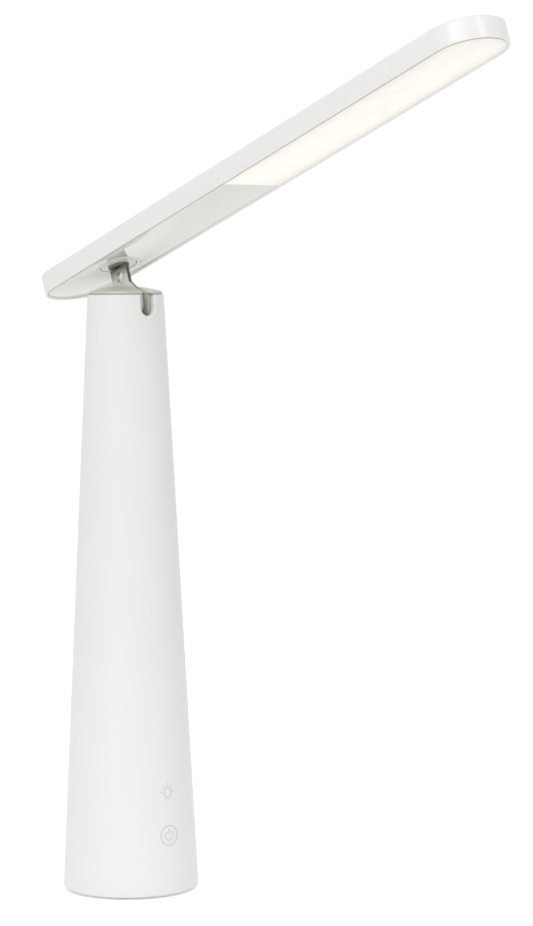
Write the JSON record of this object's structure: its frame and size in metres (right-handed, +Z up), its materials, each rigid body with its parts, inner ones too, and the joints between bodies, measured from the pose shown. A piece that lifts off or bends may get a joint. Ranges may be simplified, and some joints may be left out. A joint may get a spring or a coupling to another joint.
{
  "type": "folding led desk lamp",
  "caption": "Cordless desk lamp: tapered round column with a slim lit head on a blade arm that tilts, folds down in front of the column and swivels.",
  "frame": {"origin": "centre of the foot pad's underside, where the lamp rests on a table", "axes": "+Z up along the column; -Y is the front, towards the slot, the touch icons and the head's lit end; +X along the fold hinge"},
  "size_m": [0.0638, 0.305, 0.3903],
  "materials": {
    "white_shell": "fine satin, pale white",
    "white_gloss": "glossy, pale white",
    "cap_metal": "satin grey",
    "arm_metal": "satin grey, warm",
    "hinge_metal": "sintered grey",
    "bright_steel": "bright",
    "weight_steel": "dull grey",
    "dark_nylon": "dark, satin",
    "washer_nylon": "natural",
    "foot_rubber": "matt dark",
    "cover_plastic": "fine grain",
    "holder_plastic": "fine grain",
    "cell_sleeve": "shrink sleeve",
    "tab_metal": "bright",
    "board_green": "solder mask",
    "socket_metal": "bright",
    "pad_foam": "soft",
    "lead_white": "soft sleeve",
    "lead_red": "soft sleeve",
    "panel_diffuser": "opal, lit warm white",
    "guide_clear": "clear, polished",
    "reflector_white": "matt white",
    "plate_metal": "mill",
    "led_white": "phosphor"
  },
  "bodies": {
    "column": {"column_shell": "white_shell", "top_cap": "cap_metal", "hinge_block": "hinge_metal", "hinge_pin": "bright_steel", "friction_washers": "washer_nylon", "spring_washers": "bright_steel", "hinge_screws": "bright_steel", "foot_pad": "foot_rubber", "base_cover": "cover_plastic", "base_screws": "bright_steel", "base_weight": "weight_steel", "battery_holder": "holder_plastic", "holder_screws": "bright_steel", "battery_cells": "cell_sleeve", "cell_tab": "tab_metal", "battery_leads": "lead_red", "touch_lead": "lead_white", "control_board": "board_green", "charging_socket": "socket_metal", "touch_board": "board_green", "touch_pads": "pad_foam", "main_lead": "lead_white"},
    "arm": {"hinge_arm": "arm_metal", "arm_lead": "lead_white", "swivel_collar": "dark_nylon", "swivel_disc": "white_gloss", "swivel_washer": "washer_nylon", "swivel_spring": "bright_steel", "swivel_clip": "bright_steel"},
    "head": {"head_shell": "white_shell", "under_cover": "white_gloss", "swivel_ring": "white_gloss", "diffuser": "panel_diffuser", "light_guide": "guide_clear", "reflector_sheet": "reflector_white", "back_plate": "plate_metal", "led_strip": "board_green", "leds": "led_white", "swivel_seat": "bright_steel", "seat_screws": "bright_steel", "head_lead": "lead_white"}
  },
  "joints": [
    {"name": "fold", "type": "hinge", "parent": "column", "child": "arm", "pos_m": [0, -0.0008, 0.2758], "axis": [1, 0, 0], "range_deg": [-21, 105.5]},
    {"name": "swivel", "type": "hinge", "parent": "arm", "child": "head", "pos_m": [0, 0.00526, 0.29339], "axis": [0, 0.3256, 0.9455], "range_deg": [-90, 90]}
  ]
}
